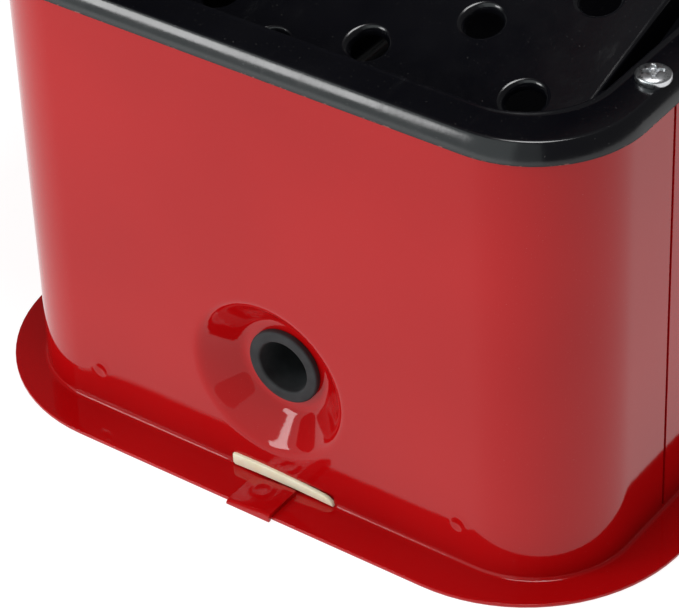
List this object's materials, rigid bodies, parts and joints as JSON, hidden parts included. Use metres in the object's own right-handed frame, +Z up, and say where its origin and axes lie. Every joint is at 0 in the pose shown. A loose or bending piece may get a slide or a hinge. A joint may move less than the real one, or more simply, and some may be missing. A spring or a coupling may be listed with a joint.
{
  "type": "parts washer tank",
  "caption": "Bench-top double-walled parts washer tank with hinged lid, propped perforated shelf, submersible pump, swivelling spout and side drain.",
  "frame": {"origin": "centre of the underside of the base pan, on the surface the tank stands on", "axes": "+X along the tank towards the pump end (the drain is at -X), -Y to the front, +Z up"},
  "size_m": [0.4865, 0.3572, 0.4824],
  "materials": {
    "red_paint": "glossy red baked enamel",
    "ivory_seal": "matt ivory foam strip",
    "black_enamel": "semi-gloss black powder coat",
    "black_rubber": "matt black rubber",
    "zinc_steel": "bright zinc plate",
    "brass": "plain brass",
    "black_plastic": "moulded black plastic",
    "motor_enamel": "grey enamel",
    "chrome": "bright chrome",
    "white_plastic": "moulded white plastic",
    "red_plastic": "moulded red plastic"
  },
  "bodies": {
    "casing": {"base_pan": "red_paint", "end_panel": "red_paint", "corner_panels": "red_paint", "side_wrap": "red_paint", "flange_clip": "red_paint", "seal_strip": "ivory_seal", "tank_end": "black_enamel", "tank_tub": "black_enamel", "tank_rim": "black_enamel", "shelf_brackets": "black_enamel", "shelf_ledges": "black_enamel", "drain_bushing": "black_rubber", "pump_feet": "black_rubber", "spout_seal": "black_rubber", "rim_screws": "zinc_steel", "rim_nuts": "zinc_steel", "drain_washer": "zinc_steel", "hinge_leaves": "zinc_steel", "hinge_pins": "zinc_steel", "hinge_screws": "zinc_steel", "stay_guide": "zinc_steel", "guide_screws": "zinc_steel", "riser_bracket": "zinc_steel", "rocker_pin": "zinc_steel", "lower_bearing": "brass", "upper_bearing": "brass", "spout_socket": "brass", "pump_strainer": "black_plastic", "volute": "black_plastic", "motor_cap": "black_plastic", "outlet_elbow": "black_plastic", "switch_box": "black_plastic", "cable_gland": "black_plastic", "motor_can": "motor_enamel", "riser_tube": "chrome"},
    "lid": {"lid_shell": "red_paint", "lid_bumpers": "black_rubber", "lid_handle": "black_enamel", "handle_screws": "zinc_steel", "lid_leaves": "zinc_steel", "lid_rivets": "zinc_steel", "stay_stud": "zinc_steel"},
    "stay": {"stay_arm_upper": "zinc_steel", "stay_arm_lower": "zinc_steel", "fusible_link": "brass", "stay_pin": "zinc_steel"},
    "shelf": {"shelf": "black_enamel", "shelf_pins": "zinc_steel"},
    "spout": {"spout_tube": "chrome", "spout_nozzle": "black_plastic"},
    "impeller": {"impeller": "white_plastic", "pump_shaft": "zinc_steel", "rotor": "zinc_steel"},
    "rocker": {"rocker": "red_plastic"}
  },
  "joints": [
    {"name": "lid_hinge", "type": "hinge", "parent": "casing", "child": "lid", "pos_m": [0, 0.144, 0.181], "axis": [-1, 0, 0], "range_deg": [-70, 0]},
    {"name": "stay_pivot", "type": "hinge", "parent": "lid", "child": "stay", "pos_m": [0.234, 0.11322, 0.26557], "axis": [-1, 0, 0], "range_deg": [0, 140]},
    {"name": "shelf_tilt", "type": "hinge", "parent": "casing", "child": "shelf", "pos_m": [-0.179, 0, 0.1707], "axis": [0, 1, 0], "range_deg": [0, 17]},
    {"name": "spout_swivel", "type": "hinge", "parent": "casing", "child": "spout", "pos_m": [0.09, 0.055, 0.2], "axis": [0, 0, 1], "range_deg": [-20, 55]},
    {"name": "impeller_spin", "type": "hinge", "parent": "casing", "child": "impeller", "pos_m": [0.15, 0.05, 0.08], "axis": [0, 0, 1], "continuous": true},
    {"name": "switch_rock", "type": "hinge", "parent": "casing", "child": "rocker", "pos_m": [0.15, -0.142, 0.096], "axis": [1, 0, 0], "range_deg": [-16, 0]}
  ],
  "couplings": [
    {"joint": "stay_pivot", "follows": "lid_hinge", "ratio": -2}
  ]
}
